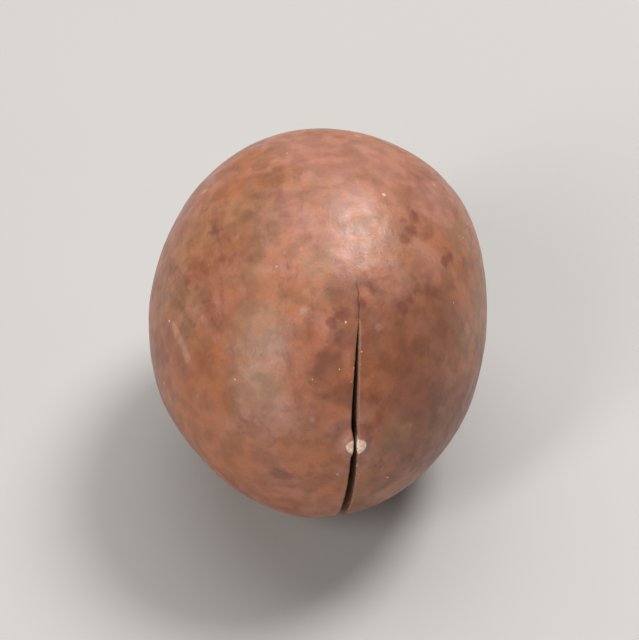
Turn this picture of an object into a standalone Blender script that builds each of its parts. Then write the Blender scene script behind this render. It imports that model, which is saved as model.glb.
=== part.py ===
"""A macadamia nut in its shell, sawn with one slit so that it can be twisted open, with the loose kernel inside.

Metres, +Z up. The origin is the centre of the small flat spot that the nut lies on. The nut's long axis runs
front to back, the pore at its front end faces -Y, and the saw slit runs up and down through the pore.
"""

import math

import bmesh
import bpy
from mathutils import Vector

MM = 0.001

# Driving dimensions of the nut
HALF_LENGTH = 14.8 * MM
HALF_WIDTH = 12.0 * MM
HALF_HEIGHT = 12.1 * MM
OVAL = 0.005  # how far the girth is from round, as a share of its radius
OVAL_TURN = 0.7
THREE_SIDED = 0.004
THREE_SIDED_TURN = -1.1
DROOP = math.radians(9)  # the long axis dips this far towards the front
HEADING = math.radians(-10)  # and its front end turns this far to the left
PORE_LIFT = math.radians(10.5)  # the pore looks up this far
FLAT_DEPTH = 0.4 * MM  # how much of the belly the flat spot takes away

# Lopsidedness of the skin: a full shoulder at the upper right of the back, a flat cheek at the lower left
SHOULDER_HEIGHT = 0.95 * MM
SHOULDER_SPREAD = math.radians(31)
CHEEK_DEPTH = 0.75 * MM
CHEEK_SPREAD = math.radians(20)

# Shell wall, measured along a ray from the nut's centre
WALL_SIDE = 2.4 * MM
WALL_PORE = 2.0 * MM
WALL_HILUM = 3.1 * MM

# Pore: a pale button on a soft point, with a shallow moat round it
POINT_HEIGHT = 0.3 * MM
POINT_SPREAD = math.radians(13)
BUTTON_RADIUS = 0.75 * MM
BUTTON_HEIGHT = 0.16 * MM
MOAT_RADIUS = 1.25 * MM
MOAT_WIDTH = 0.35 * MM
MOAT_DEPTH = 0.1 * MM

# Hilum: the round scar at the back where the nut hung on its stalk
HILUM_FLATTENING = 0.5 * MM
HILUM_SPREAD = math.radians(24)
SCAR_RADIUS = 3.1 * MM
SCAR_DEPTH = 0.22 * MM
RIM_HEIGHT = 0.18 * MM
RIM_WIDTH = 0.45 * MM
PIT_RADIUS = 0.6 * MM
PIT_DEPTH = 0.25 * MM

# Saw slit: angles are measured round the nut's centre, from the pore, positive up the front
SLIT_LEAN = math.radians(11)  # the slit's plane leans this far to the right
SLIT_TOP = math.radians(35)
SLIT_BOTTOM = math.radians(-73)
SLIT_TOP_HALF_WIDTH = 0.1 * MM
SLIT_PORE_HALF_WIDTH = 0.24 * MM
SLIT_FULL_HALF_WIDTH = 0.32 * MM
SLIT_FULL_FROM = math.radians(-28)
SLIT_WAIST = 0.4  # the hard pore narrows the slit by this share
SLIT_WAIST_LENGTH = math.radians(3.5)
SLIT_END_TAPER = math.radians(7)
SLIT_END_SHARE = 0.3  # the width left at the bottom end
SLIT_BOW = 0.15 * MM  # the stretch above the pore bows this far to the left
SLIT_JOG = 0.15 * MM  # the stretch above the pore stands this far to the left
SLIT_JOG_AT = math.radians(4)
SLIT_JOG_LENGTH = math.radians(2)
SLIT_TURN = 1.65 * MM  # sideways drift below the pore, for each radian
SLIT_SECTIONS = 46
BLADE_UNDER_SKIN = 4.3 * MM  # the blade reaches this deep, well into the hollow
BLADE_OVER_SKIN = 2 * MM

# Kernel: it lies on the floor of the hollow
KERNEL_HALF_LENGTH = 10.7 * MM
KERNEL_HALF_WIDTH = 8.9 * MM
KERNEL_HALF_HEIGHT = 8.8 * MM
KERNEL_TIP = 0.5 * MM
KERNEL_TIP_SPREAD = math.radians(18)
KERNEL_CLEARANCE = 0.3 * MM

# Finishes
SHELL_BROWN = (0.34, 0.14, 0.083)
SHELL_ROUGHNESS = 0.42
KERNEL_IVORY = (0.82, 0.7, 0.48)
KERNEL_ROUGHNESS = 0.5
SHARP_ANGLE = math.radians(35)

# Mesh: how many points each ring has, and how far from the pore the rings lie, in degrees
SHELL_SEGMENTS = 56
PORE_RINGS = (1.4, 2.4, 3.3, 4.1, 5.4, 7, 9.5, 13)
SIDE_RINGS = (17.5, 158.5, 5.6)
HILUM_RINGS = (162, 164.5, 166.4, 168, 170.5, 173.5, 176.5, 178.5)
HOLLOW_SEGMENTS = 36
HOLLOW_RINGS = (8, 172, 8.2)
KERNEL_SEGMENTS = 36
KERNEL_RINGS = (7, 173, 7.5)

# Axes of the ellipsoid that the nut's form starts from
UP = Vector((0, 0, 1))
AHEAD = Vector((math.sin(HEADING), -math.cos(HEADING), 0))
WIDE = Vector((math.cos(HEADING), math.sin(HEADING), 0))
LONG = AHEAD * math.cos(DROOP) - UP * math.sin(DROOP)
HIGH = AHEAD * math.sin(DROOP) + UP * math.cos(DROOP)

TO_SHOULDER = Vector((0.817, 0.328, 0.474)).normalized()
TO_CHEEK = Vector((-0.645, -0.487, -0.589)).normalized()

# Axes of the pore and the slit
TO_PORE = Vector((0, -math.cos(PORE_LIFT), math.sin(PORE_LIFT)))
ABOVE_PORE = Vector((0, math.sin(PORE_LIFT), math.cos(PORE_LIFT)))
SLIT_UP = ABOVE_PORE * math.cos(SLIT_LEAN) + Vector((1, 0, 0)) * math.sin(SLIT_LEAN)
SLIT_SIDE = Vector((1, 0, 0)) * math.cos(SLIT_LEAN) - ABOVE_PORE * math.sin(SLIT_LEAN)


def reach_down(half_length, half_height):
    """How far below its centre the drooping ellipsoid reaches."""
    return math.hypot(half_length * math.sin(DROOP), half_height * math.cos(DROOP))


def lowest_point_ahead(half_length, half_height):
    """How far in front of its centre the drooping ellipsoid touches the ground."""
    lean = (half_length**2 - half_height**2) * math.sin(DROOP) * math.cos(DROOP)
    return lean / reach_down(half_length, half_height)


NUT_CENTRE = (
    UP * (reach_down(HALF_LENGTH, HALF_HEIGHT) - FLAT_DEPTH)
    - AHEAD * lowest_point_ahead(HALF_LENGTH, HALF_HEIGHT)
)


def smooth(value):
    """0 below 0, 1 above 1, and an even S between them."""
    t = min(max(value, 0.0), 1.0)
    return t * t * (3 - 2 * t)


def bump(distance, width):
    """A round bump, 1 at no distance."""
    return math.exp(-((distance / width) ** 2))


def direction(from_pore, turn):
    """The unit ray at an angle from the pore's axis, turned round that axis from the slit's right side."""
    around = SLIT_SIDE * math.cos(turn) + SLIT_UP * math.sin(turn)
    return TO_PORE * math.cos(from_pore) + around * math.sin(from_pore)


def ellipsoid_radius(ray, half_length, half_width, half_height):
    return 1 / math.sqrt(
        (ray.dot(LONG) / half_length) ** 2
        + (ray.dot(WIDE) / half_width) ** 2
        + (ray.dot(HIGH) / half_height) ** 2
    )


def body_radius(ray):
    """The nut's plain form: an ellipsoid whose girth is not quite round."""
    plain = ellipsoid_radius(ray, HALF_LENGTH, HALF_WIDTH, HALF_HEIGHT)
    turn = math.atan2(ray.dot(SLIT_UP), ray.dot(SLIT_SIDE))
    belly = 1 - ray.dot(TO_PORE) ** 2
    oval = OVAL * math.cos(2 * turn - OVAL_TURN)
    three_sided = THREE_SIDED * math.cos(3 * turn - THREE_SIDED_TURN)
    return plain * (1 + belly * (oval + three_sided))


def lopsided(ray):
    """How far the shoulder and the cheek move the skin."""
    shoulder = SHOULDER_HEIGHT * bump(ray.angle(TO_SHOULDER), SHOULDER_SPREAD)
    return shoulder - CHEEK_DEPTH * bump(ray.angle(TO_CHEEK), CHEEK_SPREAD)


def pore_relief(from_pore, radius):
    """The soft point, the button on it and the moat round the button."""
    arc = from_pore * radius
    button = smooth((BUTTON_RADIUS - arc) / (0.5 * BUTTON_RADIUS) + 0.5)
    return (
        POINT_HEIGHT * bump(from_pore, POINT_SPREAD)
        + BUTTON_HEIGHT * button
        - MOAT_DEPTH * bump(arc - MOAT_RADIUS, MOAT_WIDTH)
    )


def hilum_relief(from_hilum, radius):
    """The flattened back end with the sunken scar, its raised rim and its pit."""
    arc = from_hilum * radius
    scar = smooth((SCAR_RADIUS - arc) / RIM_WIDTH)
    return (
        RIM_HEIGHT * bump(arc - SCAR_RADIUS, RIM_WIDTH)
        - HILUM_FLATTENING * bump(from_hilum, HILUM_SPREAD)
        - SCAR_DEPTH * scar
        - PIT_DEPTH * bump(arc, PIT_RADIUS)
    )


def shell_radius(ray):
    radius = body_radius(ray) + lopsided(ray)
    from_pore = ray.angle(TO_PORE)
    from_hilum = math.pi - from_pore
    return radius + pore_relief(from_pore, radius) + hilum_relief(from_hilum, radius)


def hollow_radius(ray):
    """The inside of the wall, which is thickest at the hilum and thinnest at the pore."""
    towards_pore = ray.dot(TO_PORE)
    end = WALL_PORE if towards_pore > 0 else WALL_HILUM
    wall = WALL_SIDE + (end - WALL_SIDE) * towards_pore**2
    return body_radius(ray) - wall


def kernel_radius(ray):
    plain = ellipsoid_radius(ray, KERNEL_HALF_LENGTH, KERNEL_HALF_WIDTH, KERNEL_HALF_HEIGHT)
    return plain + KERNEL_TIP * bump(ray.angle(TO_PORE), KERNEL_TIP_SPREAD)


def slit_half_width(angle):
    """Half the slit's width at this angle from the pore: narrow at its top, full below the pore."""
    if angle > 0:
        share = smooth(1 - angle / SLIT_TOP)
        width = SLIT_TOP_HALF_WIDTH + (SLIT_PORE_HALF_WIDTH - SLIT_TOP_HALF_WIDTH) * share
    else:
        share = smooth(angle / SLIT_FULL_FROM)
        width = SLIT_PORE_HALF_WIDTH + (SLIT_FULL_HALF_WIDTH - SLIT_PORE_HALF_WIDTH) * share
    waist = 1 - SLIT_WAIST * bump(angle, SLIT_WAIST_LENGTH)
    opened = smooth((angle - SLIT_BOTTOM) / SLIT_END_TAPER)
    return width * waist * (SLIT_END_SHARE + (1 - SLIT_END_SHARE) * opened)


def slit_middle(angle):
    """How far the slit's middle lies off its plane: bowed above the pore, turning away below it."""
    jog = 0.5 * SLIT_JOG * (1 + math.tanh((angle - SLIT_JOG_AT) / SLIT_JOG_LENGTH))
    bow = SLIT_BOW * math.sin(math.pi * max(0.0, angle) / SLIT_TOP)
    return SLIT_TURN * max(0.0, -angle) - jog - bow


def evenly(first, last, step):
    """Numbers from first to last, about a step apart."""
    count = round((last - first) / step)
    return [first + (last - first) * i / count for i in range(count + 1)]


def ball(name, segments, rings, radius_of, centre):
    """A closed mesh object whose rings lie round the pore's axis at these angles in degrees."""
    mesh = bpy.data.meshes.new(name)
    work = bmesh.new()

    def point(from_pore, turn):
        ray = direction(from_pore, turn)
        return work.verts.new(centre + ray * radius_of(ray))

    loops = [
        [
            point(math.radians(ring), 2 * math.pi * (i + 0.5) / segments)
            for i in range(segments)
        ]
        for ring in rings
    ]
    front = point(0, 0)
    back = point(math.pi, 0)
    for i in range(segments):
        j = (i + 1) % segments
        work.faces.new((front, loops[0][i], loops[0][j]))
        work.faces.new((back, loops[-1][j], loops[-1][i]))
        for near, far in zip(loops, loops[1:]):
            work.faces.new((near[i], far[i], far[j], near[j]))
    bmesh.ops.recalc_face_normals(work, faces=work.faces)
    work.to_mesh(mesh)
    work.free()
    made = bpy.data.objects.new(name, mesh)
    bpy.context.scene.collection.objects.link(made)
    return made


def cut_flat_spot(obj):
    """Slices the belly off at the ground, leaving the flat spot that the nut lies on."""
    work = bmesh.new()
    work.from_mesh(obj.data)
    bmesh.ops.bisect_plane(
        work,
        geom=work.verts[:] + work.edges[:] + work.faces[:],
        dist=1e-7,
        plane_co=(0, 0, 0),
        plane_no=(0, 0, -1),
        clear_outer=True,
    )
    rim = [edge for edge in work.edges if edge.is_boundary]
    bmesh.ops.edgeloop_fill(work, edges=rim)
    bmesh.ops.recalc_face_normals(work, faces=work.faces)
    work.to_mesh(obj.data)
    work.free()


def slit_cutter():
    """A thin curved blade, swept round the nut's centre through the whole wall."""
    inner = HALF_WIDTH - BLADE_UNDER_SKIN
    outer = HALF_LENGTH + BLADE_OVER_SKIN
    mesh = bpy.data.meshes.new("slit_cutter")
    work = bmesh.new()
    sections = []
    for i in range(SLIT_SECTIONS + 1):
        angle = SLIT_BOTTOM + (SLIT_TOP - SLIT_BOTTOM) * i / SLIT_SECTIONS
        ray = TO_PORE * math.cos(angle) + SLIT_UP * math.sin(angle)
        half, middle = slit_half_width(angle), slit_middle(angle)
        corners = ((inner, -half), (outer, -half), (outer, half), (inner, half))
        sections.append(
            [
                work.verts.new(NUT_CENTRE + ray * reach + SLIT_SIDE * (middle + side))
                for reach, side in corners
            ]
        )
    for near, far in zip(sections, sections[1:]):
        for i in range(4):
            j = (i + 1) % 4
            work.faces.new((near[i], near[j], far[j], far[i]))
    work.faces.new(sections[0])
    work.faces.new(sections[-1])
    bmesh.ops.recalc_face_normals(work, faces=work.faces)
    work.to_mesh(mesh)
    work.free()
    made = bpy.data.objects.new("slit_cutter", mesh)
    bpy.context.scene.collection.objects.link(made)
    return made


def cut(target, cutter):
    """Takes the cutter's shape out of the target, and hides the cutter."""
    cutter.hide_render = True
    cutter.display_type = "WIRE"
    modifier = target.modifiers.new(cutter.name, "BOOLEAN")
    modifier.operation = "DIFFERENCE"
    modifier.solver = "EXACT"
    modifier.object = cutter


def material(name, colour, roughness):
    made = bpy.data.materials.new(name)
    made.use_nodes = True
    shader = made.node_tree.nodes["Principled BSDF"]
    shader.inputs["Base Color"].default_value = (*colour, 1)
    shader.inputs["Roughness"].default_value = roughness
    shader.inputs["Metallic"].default_value = 0
    return made


def finish(obj, skin):
    obj.data.materials.append(skin)
    obj.data.shade_smooth()
    obj.data.set_sharp_from_angle(angle=SHARP_ANGLE)


def make_shell():
    """The woody shell: one piece, hollow, with the slit through its wall."""
    rings = (*PORE_RINGS, *evenly(*SIDE_RINGS), *HILUM_RINGS)
    shell = ball("shell", SHELL_SEGMENTS, rings, shell_radius, NUT_CENTRE)
    cut_flat_spot(shell)
    finish(shell, material("shell_skin", SHELL_BROWN, SHELL_ROUGHNESS))
    hollow = ball("hollow_cutter", HOLLOW_SEGMENTS, evenly(*HOLLOW_RINGS), hollow_radius, NUT_CENTRE)
    cut(shell, hollow)
    cut(shell, slit_cutter())


def make_kernel():
    """The kernel: one round body that lies loose in the hollow."""
    spare = HALF_HEIGHT - WALL_SIDE - KERNEL_HALF_HEIGHT - KERNEL_CLEARANCE
    centre = NUT_CENTRE - Vector((0, 0, spare))
    kernel = ball("kernel", KERNEL_SEGMENTS, evenly(*KERNEL_RINGS), kernel_radius, centre)
    finish(kernel, material("kernel_flesh", KERNEL_IVORY, KERNEL_ROUGHNESS))


def main():
    for obj in list(bpy.data.objects):
        bpy.data.objects.remove(obj)
    make_shell()
    make_kernel()


main()
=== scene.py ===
"""A macadamia nut in its shell: mottled skin, sawn slit, pore, hilum scar and loose kernel.

Lengths are in metres. The nut's forms follow the same named values as its solid model. The origin is
the centre of the small flat spot that it lies on, +Z is up and the pore faces -Y.
"""

import math
from itertools import product

import bmesh
import bpy
import numpy as np
from bpy.props import FloatProperty, FloatVectorProperty, IntProperty, PointerProperty
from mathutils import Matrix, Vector, noise


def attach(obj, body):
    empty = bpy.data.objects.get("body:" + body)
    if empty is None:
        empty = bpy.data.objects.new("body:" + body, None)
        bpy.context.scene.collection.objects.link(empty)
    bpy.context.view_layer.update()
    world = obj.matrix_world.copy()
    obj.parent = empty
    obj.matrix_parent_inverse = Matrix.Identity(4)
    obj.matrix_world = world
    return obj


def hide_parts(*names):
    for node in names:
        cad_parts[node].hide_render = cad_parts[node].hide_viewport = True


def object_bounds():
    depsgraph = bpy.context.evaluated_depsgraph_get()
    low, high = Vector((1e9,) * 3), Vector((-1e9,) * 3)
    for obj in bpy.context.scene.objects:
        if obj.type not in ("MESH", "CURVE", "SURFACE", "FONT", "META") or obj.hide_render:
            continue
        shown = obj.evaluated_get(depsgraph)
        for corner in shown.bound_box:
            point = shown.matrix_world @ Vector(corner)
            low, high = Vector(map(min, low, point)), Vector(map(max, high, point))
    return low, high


bl_info = {
    "name": "Macadamia nut in shell",
    "version": (1, 0, 0),
    "blender": (4, 5, 0),
    "location": "3D Viewport > Sidebar > Nut",
    "description": "Builds a sawn macadamia nut with its mottled shell and loose kernel",
    "category": "Object",
}

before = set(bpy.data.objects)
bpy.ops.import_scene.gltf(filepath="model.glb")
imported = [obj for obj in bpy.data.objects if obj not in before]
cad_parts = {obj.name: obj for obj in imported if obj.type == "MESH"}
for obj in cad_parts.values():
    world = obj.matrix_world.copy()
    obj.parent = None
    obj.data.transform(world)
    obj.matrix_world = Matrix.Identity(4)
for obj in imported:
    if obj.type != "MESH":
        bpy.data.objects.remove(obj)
CAD_LOW, CAD_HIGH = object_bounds()

MM = 0.001

# Nut
HALF_LENGTH = 14.8 * MM
HALF_WIDTH = 12.0 * MM
HALF_HEIGHT = 12.1 * MM
OVAL = 0.005
OVAL_TURN = 0.7
THREE_SIDED = 0.004
THREE_SIDED_TURN = -1.1
DROOP = math.radians(9)
HEADING = math.radians(-10)
PORE_LIFT = math.radians(10.5)
FLAT_DEPTH = 0.4 * MM

SHOULDER_HEIGHT = 0.95 * MM
SHOULDER_SPREAD = math.radians(31)
CHEEK_DEPTH = 0.75 * MM
CHEEK_SPREAD = math.radians(20)

# Shell wall
WALL_SIDE = 2.4 * MM
WALL_PORE = 2.0 * MM
WALL_HILUM = 3.1 * MM

# Pore
POINT_HEIGHT = 0.3 * MM
POINT_SPREAD = math.radians(13)
BUTTON_RADIUS = 0.75 * MM
BUTTON_HEIGHT = 0.16 * MM
MOAT_RADIUS = 1.25 * MM
MOAT_WIDTH = 0.35 * MM
MOAT_DEPTH = 0.1 * MM
BEAD_HALF_WIDTH = 0.69 * MM
BEAD_HALF_HEIGHT = 0.54 * MM
BEAD_SHIFT = 0.06 * MM

# Hilum scar
HILUM_FLATTENING = 0.5 * MM
HILUM_SPREAD = math.radians(24)
SCAR_RADIUS = 3.1 * MM
SCAR_DEPTH = 0.22 * MM
RIM_HEIGHT = 0.18 * MM
RIM_WIDTH = 0.45 * MM
PIT_RADIUS = 0.6 * MM
PIT_DEPTH = 0.25 * MM
VEINS = 11
VEIN_HEIGHT = 0.035 * MM
BROAD_FIBRES = 17.0
NARROW_FIBRES = 39.0
FIBRE_BEND = 14.0

# Saw slit, by the angle round the nut's centre from the pore, positive up the front
SLIT_LEAN = math.radians(11)
SLIT_TOP = math.radians(35)
SLIT_BOTTOM = math.radians(-73)
SLIT_TOP_HALF_WIDTH = 0.1 * MM
SLIT_PORE_HALF_WIDTH = 0.24 * MM
SLIT_FULL_HALF_WIDTH = 0.32 * MM
SLIT_FULL_FROM = math.radians(-28)
SLIT_WAIST = 0.4
SLIT_WAIST_LENGTH = math.radians(3.5)
SLIT_TOP_TAPER = math.radians(9)
SLIT_BOTTOM_TAPER = math.radians(7)
SLIT_BOW = 0.15 * MM
SLIT_JOG = 0.15 * MM
SLIT_JOG_AT = math.radians(4)
SLIT_JOG_LENGTH = math.radians(2)
SLIT_TURN = 1.65 * MM
SAW_MARK_SIZE = 0.3 * MM
SAW_MARK_DEPTH = 0.02 * MM

# Hairline crack that runs on from the slit's top
CRACK_TOP = math.radians(50)
CRACK_FADE = math.radians(7)
CRACK_HALF_WIDTH = 0.04 * MM
CRACK_JAG = 0.12 * MM

# Fine relief of the skin
LUMP_SIZE = 6 * MM
RIDGE_SIZE = 1.5 * MM
RIDGE_STRETCH = 0.72
PEEL_SIZE = 0.7 * MM
SKIN_BUMP = 0.025 * MM
FINE_BUMP = 0.05 * MM
BIT_BUMP = 0.02 * MM

# Marks on the skin: angle up the slit's plane from the pore, angle out of it, radius in millimetres
MARKS = {
    # Painted shade: a darker, more saturated brown on the underside and the lower sides, where shade falls
    "deep_painted_shade": (
        (-48, -66, 5.5), (-26, -58, 4.0), (-98, -25, 6.0), (-88, 30, 6.5),
        (-34, 54, 6.0), (5, 66, 4.0), (-14, 33, 3.0), (-2, 38, 3.2),
    ),
    # The broad patches right of the slit are painted shade; the small ones beside the slit are darker
    # reddish skin
    "dusk_and_painted_shade": (
        (30, 12, 4.4), (36, 27, 3.6), (14, 20, 4.0), (22, -9, 1.3),
        (44, -5, 1.7), (30, -4, 1.4), (14, -3, 1.3),
    ),
    "orange": ((-9, -49, 4.6), (-20, -36, 3.4), (52, 44, 2.2), (102, -36, 2.0)),
    # Greyish olive patches; the two broad ones on the left, near the pore's height, also paint part of the
    # second highlight from the left light
    "olive": (
        (53, -13, 1.5), (30, -32, 2.6), (12, -30, 2.4), (1, 12, 1.8), (45, 60, 3.5), (78, -27, 1.0),
    ),
    "smudge": (
        (93, -23, 1.3), (85, -29, 1.2), (76, -34, 1.2), (66, -35, 1.3), (59, -33, 0.9), (69, -26, 0.9),
    ),
    # Pale pinkish patches; the broad ones on the crown are a painted sheen, a paler top where the light
    # grazes
    "pale": (
        (33, 5.5, 0.3), (103, -19, 0.5), (80, 3, 1.7), (74, -3, 1.3), (98, 12, 3.0),
        (106, -8, 3.2), (94, -2, 2.4), (84, 30, 2.6), (58, 26, 2.0), (95, 53, 1.0),
    ),
    # Painted highlight: a thin pale glint along the left rim
    "painted_glint_streak": ((27, -66, 0.4), (23, -64, 0.45), (19, -61, 0.45), (15, -58, 0.45), (11, -56, 0.4)),
    "stain": (
        (47, 2, 0.6), (44, 4, 0.4), (40, 0, 0.5), (36, -6, 0.6), (34, -9, 0.5), (39, 14, 0.6), (42, 17, 0.4),
        (64, 17, 0.6), (68, 20, 0.6), (74, 22, 0.6), (71, 17, 0.4), (62, 36, 0.6), (59, 33, 0.5),
    ),
}

# Softness of the marked places
PORE_SOFTNESS = 0.45
HALO_RING = 1.4
SCAR_SOFTNESS = 1.1 * MM
SCAR_WAVINESS = 0.05
LIP_WIDTH = 0.16 * MM
LIP_LEFT_SHARE = 0.45
LIP_FADE = math.radians(6)

# Colours of the skin's small places
DARK_SPECK = (0.15, 0.05, 0.033)
PALE_SPECK = (0.62, 0.42, 0.32)
CORK_DARK = (0.22, 0.115, 0.07)
CORK_PALE = (0.44, 0.285, 0.19)
CORK_DUST = (0.3, 0.155, 0.095)
CRACK_DARK = (0.07, 0.022, 0.014)
PORE_PALE = (1.0, 0.76, 0.64)
PORE_DARK = (0.8, 0.5, 0.38)

# Colours of the cut wall, the lining, the kernel's patches and the bits
WOOD_DARK = (0.26, 0.125, 0.072)
WOOD_PALE = (0.42, 0.25, 0.155)
RIND = (0.28, 0.13, 0.078)
WALL_INNER = (0.2, 0.09, 0.045)
PORE_PLUG = (0.86, 0.72, 0.6)
LINING_BROWN = (0.24, 0.1, 0.05)
LINING_CREAM = (0.72, 0.55, 0.36)
LINING_MOTTLE = (0.45, 0.24, 0.12)
KERNEL_TAN = (0.68, 0.47, 0.25)
KERNEL_PALE = (0.9, 0.8, 0.6)
KERNEL_SPECK = (0.3, 0.15, 0.07)
FLECK_PALE = (0.66, 0.5, 0.4)
FLECK_DARK = (0.45, 0.28, 0.2)
CRUMB_PALE = (0.6, 0.42, 0.3)
CRUMB_DARK = (0.36, 0.2, 0.13)

# Kernel
KERNEL_HALF_LENGTH = 10.7 * MM
KERNEL_HALF_WIDTH = 8.9 * MM
KERNEL_HALF_HEIGHT = 8.8 * MM
KERNEL_TIP = 0.5 * MM
KERNEL_TIP_SPREAD = math.radians(18)
KERNEL_SEAM_TURN = math.radians(35)
KERNEL_SEAM_SHARPNESS = 40.0
KERNEL_CLEARANCE = 0.3 * MM
KERNEL_DETAIL = 6

# Pale flecks on the skin and saw crumbs on the slit's edges
FLECK_SPACING = 0.8 * MM
FLECK_FLATNESS = 0.28
FLECK_CLEARANCE = 0.7 * MM
FLECK_LOWEST = 1.0 * MM
CRUMB_SPACING = 0.08 * MM
CRUMB_FLATNESS = 0.7
CRUMB_BAND = 0.6 * MM
CRUMB_SPREAD = 0.14 * MM
CRUMB_DEPTH = 0.7 * MM

# Lights: direction by the camera's right, up and back, distance, width and height, watts, colour
LIGHTS = {
    "key": ((0.4, 0.84, 0.37), 0.5, (0.2, 0.18), 1.8, (1.0, 0.98, 0.95)),
    "sky": ((-0.05, 0.92, 0.36), 0.6, (0.8, 0.5), 2.15, (1.0, 0.98, 0.97)),
    "fill": ((-0.6, 0.03, 0.8), 0.55, (0.12, 0.36), 1.3, (1.0, 0.99, 0.96)),
    "low": ((-0.45, -0.5, 0.74), 0.55, (0.4, 0.3), 0.6, (1.0, 0.97, 0.93)),
}

# Room, floor and camera
ROOM_LIGHT = 0.125
ROOM_COLOUR = (1, 0.99, 0.98, 1)
FLOOR_RADIUS = 1.5
LENS_LENGTH = 120
SENSOR_WIDTH = 36
NEAREST_VIEW = 0.005
NUT_IN_BOX = 0.75

# Grid of the shell: columns go round in the slit's plane, rows run from it out to either side
COLUMNS = 384
SKIN_ROWS = 78
WALL_ROWS = 7
LINING_ROWS = 16
MERGE = 0.0001 * MM
SKIN, CUT, LINING = 0, 1, 2

# Axes of the nut's ellipsoid, its pore and its slit
UP = np.array((0.0, 0.0, 1.0))
ACROSS = np.array((1.0, 0.0, 0.0))
AHEAD = np.array((math.sin(HEADING), -math.cos(HEADING), 0.0))
WIDE = np.array((math.cos(HEADING), math.sin(HEADING), 0.0))
LONG = AHEAD * math.cos(DROOP) - UP * math.sin(DROOP)
HIGH = AHEAD * math.sin(DROOP) + UP * math.cos(DROOP)
TO_SHOULDER = np.array(Vector((0.817, 0.328, 0.474)).normalized())
TO_CHEEK = np.array(Vector((-0.645, -0.487, -0.589)).normalized())
TO_PORE = np.array((0.0, -math.cos(PORE_LIFT), math.sin(PORE_LIFT)))
ABOVE_PORE = np.array((0.0, math.sin(PORE_LIFT), math.cos(PORE_LIFT)))
SLIT_UP = ABOVE_PORE * math.cos(SLIT_LEAN) + ACROSS * math.sin(SLIT_LEAN)
SLIT_SIDE = ACROSS * math.cos(SLIT_LEAN) - ABOVE_PORE * math.sin(SLIT_LEAN)

REACH_DOWN = math.hypot(HALF_LENGTH * math.sin(DROOP), HALF_HEIGHT * math.cos(DROOP))
LEAN_AHEAD = (HALF_LENGTH**2 - HALF_HEIGHT**2) * math.sin(DROOP) * math.cos(DROOP) / REACH_DOWN
NUT_CENTRE = UP * (REACH_DOWN - FLAT_DEPTH) - AHEAD * LEAN_AHEAD
KERNEL_DROP = HALF_HEIGHT - WALL_SIDE - KERNEL_HALF_HEIGHT - KERNEL_CLEARANCE
KERNEL_CENTRE = NUT_CENTRE - UP * KERNEL_DROP


def length_setting(name, description, default):
    """A size that a user can change."""
    return FloatProperty(name=name, description=description, default=default, min=0, unit="LENGTH")


def colour_setting(name, description, default):
    """A colour that a user can change."""
    values = {"default": default, "min": 0, "max": 1, "subtype": "COLOR"}
    return FloatVectorProperty(name=name, description=description, **values)


class ShellSettings(bpy.types.PropertyGroup):
    """The shell's fine relief and the colours of its skin."""

    lumps: length_setting("Lumps", "Height of the skin's soft unevenness", 0.07 * MM)
    ridges: length_setting("Ridges", "Height of the faint ridges from the scar to the pore", 0.025 * MM)
    peel: length_setting("Peel", "Height of the fine orange-peel grain", 0.016 * MM)
    lip_chamfer: length_setting("Lip chamfer", "Width of the worn edge on each side of the slit", 0.045 * MM)
    lip_chips: length_setting("Lip chips", "How much further the edge's chipped places reach", 0.06 * MM)
    tan: colour_setting("Tan", "Main colour of the skin", (0.34, 0.128, 0.072))
    orange: colour_setting("Orange", "Warm orange-brown places", (0.37, 0.128, 0.052))
    pink: colour_setting("Pink", "Pale pinkish places", (0.42, 0.185, 0.13))
    olive: colour_setting("Olive", "Greyish olive places", (0.34, 0.165, 0.085))
    plum: colour_setting("Plum", "Dark reddish places", (0.19, 0.06, 0.043))


class KernelSettings(bpy.types.PropertyGroup):
    """The kernel's fine relief and colour."""

    seam: length_setting("Seam", "Depth of the fine seam between the kernel's two halves", 0.06 * MM)
    dimples: length_setting("Dimples", "Depth of the kernel's shallow dimples", 0.12 * MM)
    ivory: colour_setting("Ivory", "Main colour of the kernel", (0.82, 0.69, 0.46))


class BitSettings(bpy.types.PropertyGroup):
    """The pale flecks on the skin and the crumbs that the saw left."""

    flecks: IntProperty(
        name="Flecks", description="How many pale flecks stick to the skin", default=70, min=0
    )
    fleck_size: length_setting("Fleck size", "Width of the largest fleck", 0.34 * MM)
    crumbs: IntProperty(
        name="Crumbs", description="How many saw crumbs cling to the slit's edges", default=260, min=0
    )
    crumb_size: length_setting("Crumb size", "Width of the largest crumb", 0.13 * MM)
    seed: IntProperty(
        name="Seed", description="Changes where the flecks and crumbs fall", default=7, min=0
    )


class StageSettings(bpy.types.PropertyGroup):
    """The floor, the light and the camera's place."""

    floor: colour_setting("Floor", "Colour of the floor", (0.485, 0.478, 0.468))
    azimuth: FloatProperty(
        name="Azimuth", description="How far the camera stands round from the pore's side",
        default=math.radians(-10.4), subtype="ANGLE", unit="ROTATION",
    )
    elevation: FloatProperty(
        name="Elevation", description="How far the camera looks down",
        default=math.radians(46), subtype="ANGLE", unit="ROTATION",
    )
    fill: FloatProperty(
        name="Fill", description="Share of the picture's height that the nut takes",
        default=0.66, min=0.1, max=0.95, subtype="FACTOR",
    )


def smooth(value):
    """0 below 0, 1 above 1, and an even S between them."""
    t = np.clip(value, 0, 1)
    return t * t * (3 - 2 * t)


def bump(distance, width):
    """A round bump, 1 at no distance."""
    return np.exp(-((distance / width) ** 2))


def noise_at(points, size, octaves, place):
    """Noise of about -1 to 1 whose lumps have this size; place picks another stretch of it."""
    shift = Vector((place, 2.3 * place, -1.7 * place))
    return np.array([noise.fractal(Vector(p) / size + shift, 1.0, 2.0, octaves) for p in points])


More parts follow.
